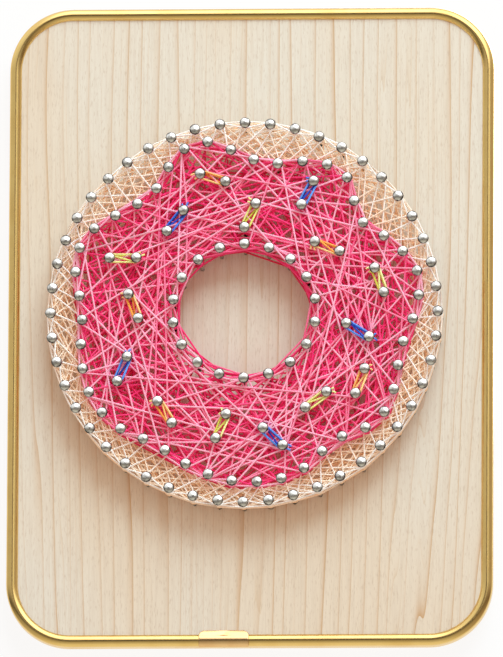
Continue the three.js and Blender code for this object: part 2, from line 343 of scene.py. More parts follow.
def thread_finish(deep, middle, top):
    """Twisted two-ply thread. Its colour runs from deep to top with its shade mark, which rises with the height in
    the web and differs a little from stretch to stretch: the lower threads are darkened as painted shade and the
    top ones lightened as a painted highlight. The plies are a slanting wave along and round the thread, and the
    grooves between them are darkened towards the deep colour as painted shade. A faint painted glow of its own
    colour stands for the light that scatters through the loose fibres."""

    def paint(graph):
        shade = graph.add("Attribute", {"attribute_name": "shade"}, output=2)
        along, around, _ = graph.parts(graph.add("UVMap", {"uv_map": "thread"}))
        ply = ((along * TWISTS_PER_METRE + around * 2) * (2 * math.pi)).math("SINE") * 0.5 + 0.5
        fuzz = graph.noise(graph.place((2500, 2500, 2500)), detail=2.0)
        # Painted shade and painted highlight: deep colour for the lowest threads, top colour for the highest, by
        # the shade mark.
        low = graph.mix(shade.between(0.0, 0.55), deep, middle)
        laid = graph.mix(shade.between(0.6, 1.05), low, top)
        return {
            # The grooves between the plies are darkened towards the deep colour as painted shade; the fuzz darkens
            # at random.
            "Base Color": graph.mix((1 - ply) * 0.16 + fuzz.between(0.5, 0.8) * 0.08, laid, deep),
            "Roughness": 0.4 + fuzz * 0.2,
            "Normal": graph.bump(ply + fuzz * 0.5, 0.00005, 0.5),
            "Emission Color": laid,
            "Emission Strength": THREAD_GLOW,
            "Specular IOR Level": 0.5,
            "Sheen Weight": 0.15,
            "Sheen Roughness": 0.4,
        }

    return paint


def felt_finish(graph):
    """Pressed felt: a mottled grey with short fibres standing out of it."""
    clump = graph.noise(graph.place((700, 700, 700)), detail=4.0, roughness=0.7)
    fibre = graph.noise(graph.place((5200, 2600, 3800)), detail=2.0, lift=2.0)
    return {
        "Base Color": graph.mix(clump.between(0.3, 0.7), srgb(66, 62, 58), srgb(104, 98, 92)),
        "Roughness": 0.88 + fibre * 0.1,
        "Normal": graph.bump(clump + fibre, 0.00025, 0.8),
        "Sheen Weight": 0.5,
    }


WOOD = finish_material("pale_wood", wood_finish)
BRASS = finish_material("rim_brass", metal_finish(srgb(240, 208, 136), srgb(226, 188, 112), 0.15))
CLIP_BRASS = finish_material("clip_brass", metal_finish(srgb(242, 206, 152), srgb(222, 172, 116), 0.15))
NICKEL = finish_material("nail_nickel", nail_finish)
ZINC = finish_material("zinc_plate", metal_finish(srgb(206, 209, 214), srgb(172, 176, 184), 0.28, 0.18))
FELT = finish_material("grey_felt", felt_finish)
# Each thread's colours are deep, middle and top: the deep one is darkened as painted shade for threads low in the
# web, and the top one is lightened as a painted highlight for the highest.
THREAD_COLOURS = {
    "pink_thread": (srgb(206, 0, 62), srgb(250, 52, 126), srgb(255, 184, 210)),
    "cream_thread": (srgb(246, 200, 154), srgb(253, 232, 208), srgb(255, 253, 250)),
    "orange_thread": (srgb(232, 128, 36), srgb(250, 172, 76), srgb(255, 218, 150)),
    "lime_thread": (srgb(190, 184, 40), srgb(226, 224, 92), srgb(244, 244, 168)),
    "blue_thread": (srgb(8, 44, 150), srgb(22, 88, 216), srgb(92, 156, 244)),
}
THREADS = {slot: finish_material(slot, thread_finish(*colours)) for slot, colours in THREAD_COLOURS.items()}


# ---------------------------------------------------------------- meshes

def in_frame(points):
    """Places given as across, up and out, in the frame's x, y and z."""
    return np.stack([points[..., 0], FACE - points[..., 2], points[..., 1]], axis=-1)


def piece(name, points, faces, material, node, body="panel", crease=None, uv=None, **marks):
    """A piece made of corners and of faces, which are arrays of corner numbers. It rides on its body, stands for
    the node it replaces, and may carry a UV place for each face corner and named numbers for each corner."""
    mesh = bpy.data.meshes.new(name)
    points = np.asarray(points, float).reshape(-1, 3)
    mesh.vertices.add(len(points))
    mesh.vertices.foreach_set("co", points.ravel())
    corners = np.concatenate([np.asarray(f).ravel() for f in faces]).astype(np.int32)
    sizes = np.concatenate([np.full(len(f), np.shape(f)[1]) for f in faces])
    starts = (np.cumsum(sizes) - sizes).astype(np.int32)
    mesh.loops.add(len(corners))
    mesh.loops.foreach_set("vertex_index", corners)
    mesh.polygons.add(len(sizes))
    mesh.polygons.foreach_set("loop_start", starts)
    if uv is not None:
        layer = mesh.uv_layers.new(name="thread")
        layer.uv.foreach_set("vector", np.asarray(uv, float).ravel())
    for mark, values in marks.items():
        attribute = mesh.attributes.new(mark, "FLOAT", "POINT")
        attribute.data.foreach_set("value", np.asarray(values, float).ravel())
    mesh.update(calc_edges=True)
    mesh.validate()
    mesh.polygons.foreach_set("use_smooth", np.ones(len(sizes), bool))
    if crease is not None:
        mesh.set_sharp_from_angle(angle=math.radians(crease))
    mesh.materials.append(material)
    thing = bpy.data.objects.new(name, mesh)
    bpy.context.scene.collection.objects.link(thing)
    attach(thing, body)
    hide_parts(node)
    return thing


def grid_faces(rows, columns, wrap_rows=False, wrap_columns=False):
    """Four-cornered faces over a grid of corners that are numbered along each row. Rows and columns may join up
    at their ends."""
    row = np.arange(rows if wrap_rows else rows - 1)[:, None]
    column = np.arange(columns if wrap_columns else columns - 1)[None, :]
    next_row = (row + 1) % rows
    next_column = (column + 1) % columns
    corners = [row * columns + column, row * columns + next_column,
               next_row * columns + next_column, next_row * columns + column]
    return np.stack(np.broadcast_arrays(*corners), axis=-1).reshape(-1, 4)


def pipe_faces(rows, columns):
    """Faces over closed sections that are laid one after another, with the first and the last as the ends."""
    caps = np.array([np.arange(columns), (rows - 1) * columns + np.arange(columns)[::-1]])
    return [grid_faces(rows, columns, wrap_columns=True)[:, ::-1], caps]


def turned(profile, sides):
    """A turned solid about the out axis. The profile is a list of radius and height, from the lowest point on the
    axis to the highest; each inner entry becomes a ring and the two ends are single corners."""
    radius, height = np.array(profile[1:-1]).T
    angle = 2 * np.pi * np.arange(sides) / sides
    rings = np.stack([
        radius[:, None] * np.cos(angle), radius[:, None] * np.sin(angle), height[:, None] + 0 * angle
    ], axis=-1).reshape(-1, 3)
    low = [0, 0, profile[0][1]]
    high = [0, 0, profile[-1][1]]
    points = np.vstack([rings, low, high])
    here = np.arange(sides)
    there = (here + 1) % sides
    last = (len(radius) - 1) * sides
    low_fan = np.stack([np.full(sides, len(rings)), there, here], axis=-1)
    high_fan = np.stack([np.full(sides, len(rings) + 1), here + last, there + last], axis=-1)
    walls = grid_faces(len(radius), sides, wrap_columns=True)
    return points, [walls, low_fan, high_fan]


def tube(path, radius, sides=6, closed=False):
    """A round tube along one path. Each path point carries a ring of corners at the radius, square to the path,
    that starts from the side of the path that lies level with the board. Gives points, faces and UV places, which
    are the length along the path and the share of a turn round it."""
    steps = len(path)
    if closed:
        along = np.roll(path, -1, axis=0) - np.roll(path, 1, axis=0)
    else:
        along = np.gradient(path, axis=0)
    along /= np.linalg.norm(along, axis=1, keepdims=True)
    side = np.cross(along, [0, 0, 1.0])
    side /= np.linalg.norm(side, axis=1, keepdims=True) + 1e-12
    rise = np.cross(side, along)
    angle = 2 * np.pi * np.arange(sides) / sides
    ring = np.cos(angle)[None, :, None] * side[:, None] + np.sin(angle)[None, :, None] * rise[:, None]
    points = (path[:, None] + radius * ring).reshape(-1, 3)
    length = np.r_[0, np.cumsum(np.linalg.norm(np.diff(path, axis=0), axis=1))]
    bands = steps if closed else steps - 1
    begin = length[:bands]
    finish = np.r_[length, length[-1]][1:bands + 1]
    turn = np.arange(sides) / sides
    begin, finish = begin[:, None] + 0 * turn, finish[:, None] + 0 * turn
    first = np.broadcast_to(turn, begin.shape)
    second = first + 1 / sides
    uv = np.stack([
        np.stack([finish, first], -1), np.stack([finish, second], -1),
        np.stack([begin, second], -1), np.stack([begin, first], -1),
    ], axis=2).reshape(-1, 2)
    if closed:
        return points, [grid_faces(steps, sides, wrap_rows=True, wrap_columns=True)[:, ::-1]], uv
    return points, pipe_faces(steps, sides), np.vstack([uv, np.zeros((2 * sides, 2))])


def joined(shapes):
    """Several shapes, each given as points, faces and UV places, as one."""
    offset = 0
    points, faces, uv = [], {}, {}
    for shape_points, shape_faces, shape_uv in shapes:
        points.append(shape_points)
        used = 0
        for f in shape_faces:
            size = f.shape[1]
            faces.setdefault(size, []).append(f + offset)
            uv.setdefault(size, []).append(shape_uv[used:used + f.size])
            used += f.size
        offset += len(shape_points)
    sizes = list(faces)
    return np.vstack(points), [np.vstack(faces[s]) for s in sizes], np.vstack([np.vstack(uv[s]) for s in sizes])


# ---------------------------------------------------------------- thread

BENDS = 7


def winding(stops, heights, sides=None, reach=None, thread=PINK_THREAD):
    """A thread's path from nail to nail. Between two nails it is the straight line that touches both nails'
    circles on the sides where the thread passes; round a nail it follows the circle from one line to the next, and
    climbs a thread's width in a full turn. A side is 1 where the nail's middle is on the thread's right and -1 on
    its left; by default it is the side that the thread's own bend pulls it to."""
    step = np.diff(stops, axis=0)
    length = np.linalg.norm(step, axis=1)
    heading = np.arctan2(step[:, 1], step[:, 0])
    if sides is None:
        bend = np.sin(np.diff(heading))
        sides = np.r_[1.0, np.where(bend > 0, -1.0, 1.0), 1.0]
    if reach is None:
        reach = SHANK + thread * rng.uniform(0.9, 1.8, len(stops))
    pull = (sides[1:] * reach[1:] - sides[:-1] * reach[:-1]) / length
    line = heading + np.arcsin(np.clip(pull, -0.95, 0.95))
    leaving = line + sides[:-1] * np.pi / 2
    arriving = line + sides[1:] * np.pi / 2
    inner = sides[1:-1]
    turn = -inner * ((-inner * (leaving[1:] - arriving[:-1])) % (2 * np.pi))
    share = np.linspace(0, 1, BENDS)
    angle = arriving[:-1, None] + turn[:, None] * share
    climb = 2 * thread * np.abs(turn)[:, None] / (2 * np.pi) * (share - 0.5)
    arcs = np.stack([
        stops[1:-1, :1] + reach[1:-1, None] * np.cos(angle),
        stops[1:-1, 1:] + reach[1:-1, None] * np.sin(angle),
        heights[1:-1, None] + climb,
    ], axis=-1).reshape(-1, 3)

    def touch(stop, angle):
        return [stops[stop, 0] + reach[stop] * np.cos(angle), stops[stop, 1] + reach[stop] * np.sin(angle),
                heights[stop]]

    return np.vstack([touch(0, leaving[0]), arcs, touch(-1, arriving[-1])])


TINT_SPREAD = 0.45


def thread_piece(name, paths, span, node, radius, sides=6):
    """Windings of one thread as one piece. The shade of a corner, which sets its painted shade and painted
    highlight, is its height as a share of the web's span, which each stretch moves up or down by its own amount,
    and is never below 0."""
    points, faces, uv = joined([tube(path, radius, sides) for path in paths])
    # Painted shade: the mark grows with height, so that lower threads are drawn darker and top ones lighter.
    shade = (points[:, 2] - span[0]) / (span[1] - span[0])
    tint = np.concatenate([
        np.repeat(np.repeat(rng.random(len(path) // BENDS + 1), BENDS)[:len(path)], sides) for path in paths
    ])
    shade = np.maximum(shade + TINT_SPREAD * (tint - 0.5), 0)
    return piece(name, in_frame(points), faces, THREADS[SLOT_OF[node]], node, uv=uv, shade=shade)


CELL = 1.6 * MM
ICING_LEGS = 560
SHORTEST_CHORD = 17 * MM
HOLE_SHARE = 0.93
OUTLINE_SLACK = 1.2 * MM
REUSE_COST = 0.12
LUCK = 0.25


def allowed_chords(places, samples=25):
    """Which pairs of nails a straight thread may join, and the points along each pair's line. A line has to pass
    the hole, and to stay inside the icing's outline, which is the icing nails' distance from the doughnut's
    middle as a function of direction."""
    share = np.linspace(0, 1, samples)[None, None, :, None]
    along = places[:, None, None] * (1 - share) + places[None, :, None] * share
    eye_middle = eye_nails.heads.mean(axis=0)
    eye_reach = np.abs(eye_nails.heads - eye_middle).max(axis=0)
    clear = np.linalg.norm((along - eye_middle) / eye_reach, axis=-1).min(axis=-1) > HOLE_SHARE
    spoke = icing_nails.heads - DOUGH_MIDDLE
    spoke_turn = np.arctan2(spoke[:, 1], spoke[:, 0])
    order = np.argsort(spoke_turn)
    offset = along - DOUGH_MIDDLE
    edge = np.interp(np.arctan2(offset[..., 1], offset[..., 0]), spoke_turn[order],
                     np.linalg.norm(spoke, axis=1)[order], period=2 * np.pi)
    inside = (np.linalg.norm(offset, axis=-1) - edge).max(axis=-1) < OUTLINE_SLACK
    length = np.linalg.norm(places[:, None] - places[None], axis=-1)
    return clear & inside & (length > SHORTEST_CHORD), along


def wander(nails, legs, choices=10):
    """A long walk from nail to nail that fills the icing evenly. The icing is divided into cells that count the
    threads over them; each leg is the least covered of a few that are drawn at random."""
    allowed, along = allowed_chords(nails.heads)
    low = along.reshape(-1, 2).min(axis=0)
    cells = np.floor((along - low) / CELL).astype(int)
    cover = np.zeros(cells.reshape(-1, 2).max(axis=0) + 1)
    used = np.zeros(len(nails.heads))
    walk = [0]
    for _ in range(legs):
        here = walk[-1]
        open_to = np.flatnonzero(allowed[here])
        drawn = rng.choice(open_to, min(choices, len(open_to)), replace=False)
        under = cells[here, drawn]
        crowd = cover[under[..., 0], under[..., 1]].mean(axis=1) + REUSE_COST * used[drawn]
        best = drawn[np.argmin(crowd + rng.random(len(drawn)) * LUCK)]
        np.add.at(cover, (cells[here, best, :, 0], cells[here, best, :, 1]), 1)
        used[best] += 1
        walk.append(best)
    return np.array(walk)


def climbing(count, span, jitter):
    """Heights that rise evenly through a span, with a little scatter."""
    return np.clip(np.linspace(*span, count) + rng.normal(0, jitter, count), *span)


def outline_paths(nails, rounds, span, thread):
    """The outline thread, wound from nail to nail round a row, several times at several heights. Round 0 goes
    outside every nail; rounds 1 and 2 change sides from nail to nail; round 3 goes inside every nail."""
    count = len(nails.heads)
    which = np.arange(count + 2) % count
    paths = []
    for height, weave in zip(np.linspace(*span, len(rounds)), rounds):
        sides = np.full(count + 2, 1.0 if weave == 3 else -1.0)
        if weave in (1, 2):
            sides[weave - 1::2] = 1.0
        heights = height + rng.normal(0, 0.22 * MM, count + 2)
        reach = SHANK + thread * rng.uniform(0.9, 2.0, count + 2)
        paths.append(winding(nails.at(which, heights), heights, sides, reach))
    return paths


def zigzag(shift, span):
    """Thread from each dough nail to an icing nail and back to the next dough nail, all the way round. The icing
    nail is the nearest in direction, moved on by the shift, and the thread sits lower on it."""
    dough_turn, icing_turn = (
        np.arctan2(*(nails.heads - DOUGH_MIDDLE).T[::-1]) for nails in (dough_nails, icing_nails)
    )
    gap = np.abs(np.angle(np.exp(1j * (dough_turn[:, None] - icing_turn[None]))))
    partner = (gap.argmin(axis=1) + shift) % len(icing_nails.heads)
    heights = climbing(2 * len(partner), span, 0.25 * MM) - np.tile([0, 0.9 * MM], len(partner))
    stops = np.stack([
        dough_nails.at(np.arange(len(partner)), heights[::2]), icing_nails.at(partner, heights[1::2])
    ], axis=1).reshape(-1, 2)
    return winding(stops, heights, thread=CREAM_THREAD)


# ---------------------------------------------------------------- making the nails

def nails_piece(name, nails, node):
    """Wire nails with domed heads, turned from a profile of radius and height over the board's face. Each copy
    turns with its nail's lean about the place where its middle meets the face."""
    seat = HEAD_TOP - 1.3 * MM
    profile = [
        (0, NAIL_POINT), (SHANK, NAIL_POINT + 1.6 * MM), (SHANK, seat), (0.84 * HEAD, seat + 0.12 * MM),
        (HEAD, seat + 0.38 * MM), (0.985 * HEAD, seat + 0.6 * MM), (0.86 * HEAD, seat + 0.88 * MM),
        (0.62 * HEAD, seat + 1.1 * MM), (0.32 * HEAD, seat + 1.25 * MM), (0, HEAD_TOP),
    ]
    points, faces = turned(profile, 12)
    count = len(nails.heads)
    leans = nails.leans[:, None]
    moved = np.repeat(points[None], count, axis=0)
    moved[..., :2] += nails.at(np.arange(count), np.zeros(count))[:, None] + leans * points[None, :, 2:]
    moved[..., 2] -= (leans * points[None, :, :2]).sum(axis=-1)
    moved[..., 2] -= rng.uniform(0, 0.3 * MM, (count, 1))
    offset = (np.arange(count) * len(points))[:, None, None]
    faces = [(f[None] + offset).reshape(-1, f.shape[1]) for f in faces]
    radius = np.hypot(points[:, 0], points[:, 1]) / HEAD
    # The mark for the painted shade: 1 on the shank below the head, and the share of the head's radius elsewhere.
    tarnish = np.where(points[:, 2] < seat, 1.0, radius)
    return piece(name, in_frame(moved), faces, NICKEL, node, crease=50, tarnish=np.tile(tarnish, count))


nails_piece("dough_nail_row", dough_nails, "dough_nails")
nails_piece("icing_nail_row", icing_nails, "icing_nails")
nails_piece("eye_nail_row", eye_nails, "eye_nails")
for number, sprinkle in enumerate(SPRINKLES):
    for end, letter in enumerate("ab"):
        nails_piece(f"{sprinkle}_wire_nail_{letter}", sprinkle_nails.only(2 * number + end),
                    f"{sprinkle}_nail_{letter}")


# ---------------------------------------------------------------- making the webs

icing_rows = (icing_nails, eye_nails, sprinkle_nails)
every_icing_nail = Nails(
    np.vstack([row.heads for row in icing_rows]),
    np.vstack([row.leans for row in icing_rows]),
)

walk = wander(every_icing_nail, ICING_LEGS)
walk_heights = climbing(len(walk), PINK_HEIGHTS, 0.45 * MM)
pink_paths = [
    winding(every_icing_nail.at(walk, walk_heights), walk_heights),
    *outline_paths(icing_nails, (0, 3, 1, 0), (8.4 * MM, 11.6 * MM), PINK_THREAD),
    *outline_paths(eye_nails, (3, 1, 0), (9.0 * MM, 11.6 * MM), PINK_THREAD),
]
thread_piece("icing_winding", pink_paths, PINK_HEIGHTS, "icing_thread", PINK_THREAD)

shifts = (-3, 2, 0, -2, 3, -1, 1)
bounds = np.linspace(*CREAM_HEIGHTS, len(shifts) + 1)
cream_paths = [zigzag(shift, (low, high)) for shift, low, high in zip(shifts, bounds, bounds[1:])]
cream_paths += outline_paths(dough_nails, (0, 3, 1, 0, 2), (7.2 * MM, 10.8 * MM), CREAM_THREAD)
thread_piece("dough_winding", cream_paths, CREAM_HEIGHTS, "dough_thread", CREAM_THREAD, 5)


# ---------------------------------------------------------------- making the sprinkles

TAIL_TURNS = (200, 75, 150, 165, 45, 185, 250, 200, 0, 85, 10, 190, 150, 15, 340)
TAILED_FIRST = (0, 6)
SPRINKLE_LEGS = 5
SPRINKLE_SEED = 60
# The heights over which the sprinkle threads' painted shade runs from deep to top.
SPRINKLE_SHADES = (10.8 * MM, 13.4 * MM)
KNOT = 0.42 * MM


def tail_path(middle, height, turn, length, own):
    """A thread's loose end: from under the nail's head straight out in one direction, with a small wave that
    grows towards its end."""
    share = np.linspace(0, 1, 14)
    away = np.array([math.cos(turn), math.sin(turn)])
    across = np.array([-away[1], away[0]])
    reach = SHANK + SPRINKLE_THREAD + share * length
    wave = 0.35 * MM * share * np.sin(share * own.uniform(3, 6) + own.uniform(0, 6))
    flat = middle + reach[:, None] * away + wave[:, None] * across
    rise = height + 0.4 * MM * np.sin(share * np.pi * own.uniform(0.7, 1.3))
    return np.column_stack([flat, rise])


def sprinkle_paths(number):
    """Turns of thread round two nails, as a loop that crosses over between two of its turns, each turn lying
    outside the last, with a knot and two loose ends at one of the nails."""
    own = np.random.default_rng(SPRINKLE_SEED + number)
    count = SPRINKLE_LEGS + 1
    sides = np.ones(count)
    sides[own.integers(1, SPRINKLE_LEGS):] *= -1
    heights = np.linspace(*SPRINKLE_HEIGHTS, count) + own.normal(0, 0.1 * MM, count)
    reach = SHANK + SPRINKLE_THREAD * np.linspace(1.0, 2.4, count)
    stops = sprinkle_nails.at(2 * number + np.arange(count) % 2, heights)
    path = winding(stops, heights, sides, reach, SPRINKLE_THREAD)
    end = 0 if number in TAILED_FIRST else 1
    knot_height = SPRINKLE_HEIGHTS[1] - 0.2 * MM
    middle = sprinkle_nails.at(2 * number + end, knot_height)
    turn = math.radians(TAIL_TURNS[number])
    tails = [tail_path(middle, knot_height, turn + spread, length * MM, own)
             for spread, length in ((-0.3, own.uniform(1.8, 2.5)), (0.35, own.uniform(1.3, 2.1)))]
    coil = np.linspace(0, 5 * np.pi, 30)
    out = np.array([math.cos(turn), math.sin(turn)])
    across = np.array([-out[1], out[0]])
    knot = np.column_stack([
        middle + out * (SHANK + 0.5 * MM + coil[:, None] * 0.03 * MM) + across * KNOT * np.cos(coil)[:, None],
        knot_height + KNOT * np.sin(coil),
    ])
    return [path, knot, *tails]


for number, sprinkle in enumerate(SPRINKLES):
    thread_piece(f"{sprinkle}_winding", sprinkle_paths(number), SPRINKLE_SHADES, f"{sprinkle}_thread",
                 SPRINKLE_THREAD)


# ---------------------------------------------------------------- the rim and its clip

SHEET_CREASE = 40


def rounded_outline(half_width, half_height, corner, start, gap, bends=22):
    """Once round a rectangle with round corners, from just right of a place on its lower side to just left of it.
    Gives the stations and the direction inwards at each."""
    middles = np.array([[1, -1], [1, 1], [-1, 1], [-1, -1]]) * [half_width - corner, half_height - corner]
    quarter = np.linspace(0, np.pi / 2, bends)
    angles = quarter[None] + np.pi / 2 * np.arange(-1, 3)[:, None]
    outward = np.stack([np.cos(angles), np.sin(angles)], axis=-1)
    arcs = (middles[:, None] + corner * outward).reshape(-1, 2)
    stations = np.vstack([[start + gap / 2, -half_height], arcs, [start - gap / 2, -half_height]])
    inward = np.vstack([[0, 1], -outward.reshape(-1, 2), [0, 1]])
    return stations, inward


def rim_section():
    """The rim's section, as distance in from its outer side and height over the board's face: a half-round front
    and back, a flat outer side, and a channel on the inside that holds the board."""
    front = FACE - RIM_LOW[1]
    back = FACE - RIM_HIGH[1]
    half = RIM_WIDTH / 2
    lip = math.asin((PLAY - front + RIM_ROUND) / RIM_ROUND)
    sweep = np.linspace(np.pi, lip, 24)
    nose = np.column_stack([half + half * np.cos(sweep), front - RIM_ROUND + RIM_ROUND * np.sin(sweep)])
    tail = nose[::-1] * [1, -1] + [0, front + back]
    channel = [[RIM_WALL, nose[-1, 1]], [RIM_WALL, tail[0, 1]]]
    return np.vstack([nose, channel, tail])


def rim_shape():
    """The rim's section, carried once round the outline from the seam to the seam."""
    half_size = (RIM_HIGH - RIM_LOW) / 2
    seam = (CLIP_LOW[0] + CLIP_HIGH[0]) / 2 - RIM_MIDDLE[0]
    stations, inward = rounded_outline(half_size[0], half_size[2], RIM_CORNER, seam, RIM_SEAM)
    section = rim_section()
    level = stations[:, None] + inward[:, None] * section[None, :, :1] + RIM_MIDDLE[[0, 2]]
    out = np.broadcast_to(section[None, :, 1:], (*level.shape[:2], 1))
    return np.concatenate([level, out], axis=-1), pipe_faces(*level.shape[:2])


points, faces = rim_shape()
piece("brass_rim", in_frame(points), faces, BRASS, "rim", crease=SHEET_CREASE)


def strip(line, half_width, sheet, middle, dent=None, across=41):
    """A bent strip of sheet metal. Its line gives the places up and out along the bend, and each has its own half
    width across. The section at each place is flat, with half-round edges; a dent moves both faces along the
    line's normal, by a function of the places across and along."""
    along = np.gradient(line, axis=0)
    normal = np.stack([-along[:, 1], along[:, 0]], axis=-1)
    normal /= np.linalg.norm(normal, axis=1, keepdims=True)
    length = np.r_[0, np.cumsum(np.linalg.norm(np.diff(line, axis=0), axis=1))]
    edge = np.linspace(-np.pi / 2, np.pi / 2, 7)[1:-1]
    flat = np.linspace(-1, 1, across)
    share = np.r_[flat, np.full(5, 1.0), flat[::-1], np.full(5, -1.0)]
    bulge = np.r_[0 * flat, np.cos(edge), 0 * flat, -np.cos(edge)]
    lift = np.r_[0 * flat - 1, np.sin(edge), 0 * flat + 1, -np.sin(edge)]
    x = share * (half_width[:, None] - sheet / 2) + bulge * sheet / 2
    shift = lift * sheet / 2 + (0 if dent is None else dent(x, length[:, None]))
    plane = line[:, None] + normal[:, None] * shift[..., None]
    return np.concatenate([(middle + x)[..., None], plane], axis=-1), pipe_faces(*x.shape)


def corner_width(half, corner, distance):
    """The half width of a strip near its end, whose corners are quarter circles."""
    short = np.clip(corner - distance, 0, corner)
    return half - corner + np.sqrt(corner ** 2 - short ** 2)


def clip_line():
    """The clip's middle line, as distance up from the rim's outer side and out from the board's face: its edge
    rests on the board, a slightly hollow ramp lifts it to the rim, and an ellipse round the rim's half-round front
    carries it over to the outer side."""
    front = FACE - RIM_LOW[1]
    off = PLAY + CLIP_SHEET / 2
    turn = np.radians(np.linspace(54, 157, 36))
    over = np.column_stack([
        RIM_WIDTH / 2 + (RIM_WIDTH / 2 + off) * np.cos(turn),
        front - RIM_ROUND + (RIM_ROUND + off) * np.sin(turn),
    ])
    foot = np.array([CLIP_HIGH[2] - RIM_LOW[2] - CLIP_SHEET / 2, off])
    knee = (foot + over[0]) / 2 + [0.1 * MM, 0.14 * MM]
    share = np.linspace(0, 1, 26)[:-1, None] ** 1.7
    return np.vstack([(1 - share) ** 2 * foot + 2 * share * (1 - share) * knee + share ** 2 * over[0], over])


def crimp(x, length):
    """A shallow round dent in the middle, where the tool pressed the clip against the seam."""
    return 0.22 * MM * np.exp(-(x / (1.6 * MM)) ** 2 - ((length - 1.3 * MM) / (0.8 * MM)) ** 2)


def clip_shape():
    """The clip over the rim's seam, with the two corners of its foot rounded."""
    line = clip_line()
    middle = (CLIP_LOW[0] + CLIP_HIGH[0]) / 2
    half = (CLIP_HIGH[0] - CLIP_LOW[0]) / 2
    widths = corner_width(half, CLIP_CORNER, line[0, 0] - line[:, 0] + 0.03 * MM)
    return strip(line + [RIM_LOW[2], 0], widths, CLIP_SHEET, middle, crimp)


points, faces = clip_shape()
piece("rim_seam_clip", in_frame(points), faces, CLIP_BRASS, "seam_clip", crease=SHEET_CREASE)


# ---------------------------------------------------------------- board, bumpers and hanger

frame["nodes"]["board"].data.materials.clear()
frame["nodes"]["board"].data.materials.append(WOOD)

BUMPER_EDGE = 0.9 * MM
BUMPER_RIPPLE = 0.06 * MM


def bumper_shape(node):
    """A round felt pad with soft edges, and with a slightly uneven face towards the board."""
    low, high = box_of(node)
    depth = high[1] - low[1]
    inner = (high[0] - low[0]) / 2 - BUMPER_EDGE
    quarter = np.linspace(0, np.pi / 2, 7)
    rise = [(inner + BUMPER_EDGE * math.sin(q), BUMPER_EDGE * (1 - math.cos(q))) for q in quarter]
    fall = [(inner + BUMPER_EDGE * math.cos(q), depth - BUMPER_EDGE * (1 - math.sin(q))) for q in quarter]
    near = [(inner * share, 0) for share in (0.35, 0.7)]
    far = [(inner * share, depth) for share in (0.7, 0.35)]
    points, faces = turned([(0, 0), *near, *rise, *fall, *far, (0, depth)], 40)
    ripple = np.sin(points[:, 0] * 2300) * np.cos(points[:, 1] * 1900)
    points[:, 2] += BUMPER_RIPPLE * (ripple - 1) * (points[:, 2] > depth / 2)
    return points + [(low[0] + high[0]) / 2, (low[2] + high[2]) / 2, FACE - high[1]], faces


for bumper in sorted(node for node in frame["nodes"] if node.startswith("bumper_")):
    points, faces = bumper_shape(bumper)
    piece(f"felt_{bumper}", in_frame(points), faces, FELT, bumper)

STRAP_LOW, STRAP_HIGH = box_of("hanger_strap")
RING_LOW, RING_HIGH = box_of("hanger_ring")
AXIS_UP = RING_LOW[2] + RING_WIRE
AXIS_OUT = FACE - (RING_LOW[1] + RING_HIGH[1]) / 2
BARREL = STRAP_HIGH[2] - AXIS_UP - STRAP_SHEET / 2


def strap_shape():
    """The hanger's strap: a flat plate that rises to the ring's axis, narrows there, and is rolled round it."""
    roll = np.radians(np.linspace(0, 318, 44))
    curl = np.column_stack([AXIS_UP + BARREL * np.sin(roll), AXIS_OUT + BARREL * np.cos(roll)])
    rise = np.linspace(STRAP_LOW[2] + STRAP_SHEET / 2, AXIS_UP, 30)[:-1]
    plate = np.column_stack([rise, np.full(len(rise), FACE - STRAP_LOW[1] - STRAP_SHEET / 2)])
    line = np.vstack([plate, curl])
    narrowing = np.clip((line[:, 0] - AXIS_UP + 3.2 * MM) / (2 * MM), 0, 1)
    narrowing[len(plate):] = 1
    widths = corner_width(STRAP_HIGH[0], STRAP_CORNER, line[:, 0] - STRAP_LOW[2]) - 1 * MM * narrowing
    return strip(line, widths, STRAP_SHEET, 0)


points, faces = strap_shape()
piece("strap_of_hanger", in_frame(points), faces, ZINC, "hanger_strap", crease=SHEET_CREASE)


def ring_path():
    """The hanging ring's middle line: a straight side in the barrel, two small corners and a half circle."""
    half = (RING_HIGH[0] - RING_LOW[0]) / 2 - RING_WIRE
    corner = 1.6 * MM
    top = RING_HIGH[2] - RING_WIRE - half
    turn = np.linspace(0, np.pi / 2, 9)
    right = np.column_stack([half - corner + corner * np.sin(turn), AXIS_UP + corner - corner * np.cos(turn)])
    over = np.linspace(0, np.pi, 34)
    arch = np.column_stack([half * np.cos(over), top + half * np.sin(over)])
    straight = np.linspace(-half + corner, half - corner, 9)[1:-1]
    flat = np.vstack([right, arch, right[::-1] * [-1, 1], np.column_stack([straight, 0 * straight + AXIS_UP])])
    return np.column_stack([flat, np.full(len(flat), AXIS_OUT)])


points, faces, _ = tube(ring_path(), RING_WIRE, 18, closed=True)
piece("wire_ring", in_frame(points), faces, ZINC, "hanger_ring", body="ring")


SCREW_HEAD_DEPTH = 1.4 * MM
SCREW_SHANK = 1.4 * MM
CROSS_ARM = 0.36 * MM
CROSS_REACH = 1.65 * MM
CROSS_DEPTH = 0.75 * MM


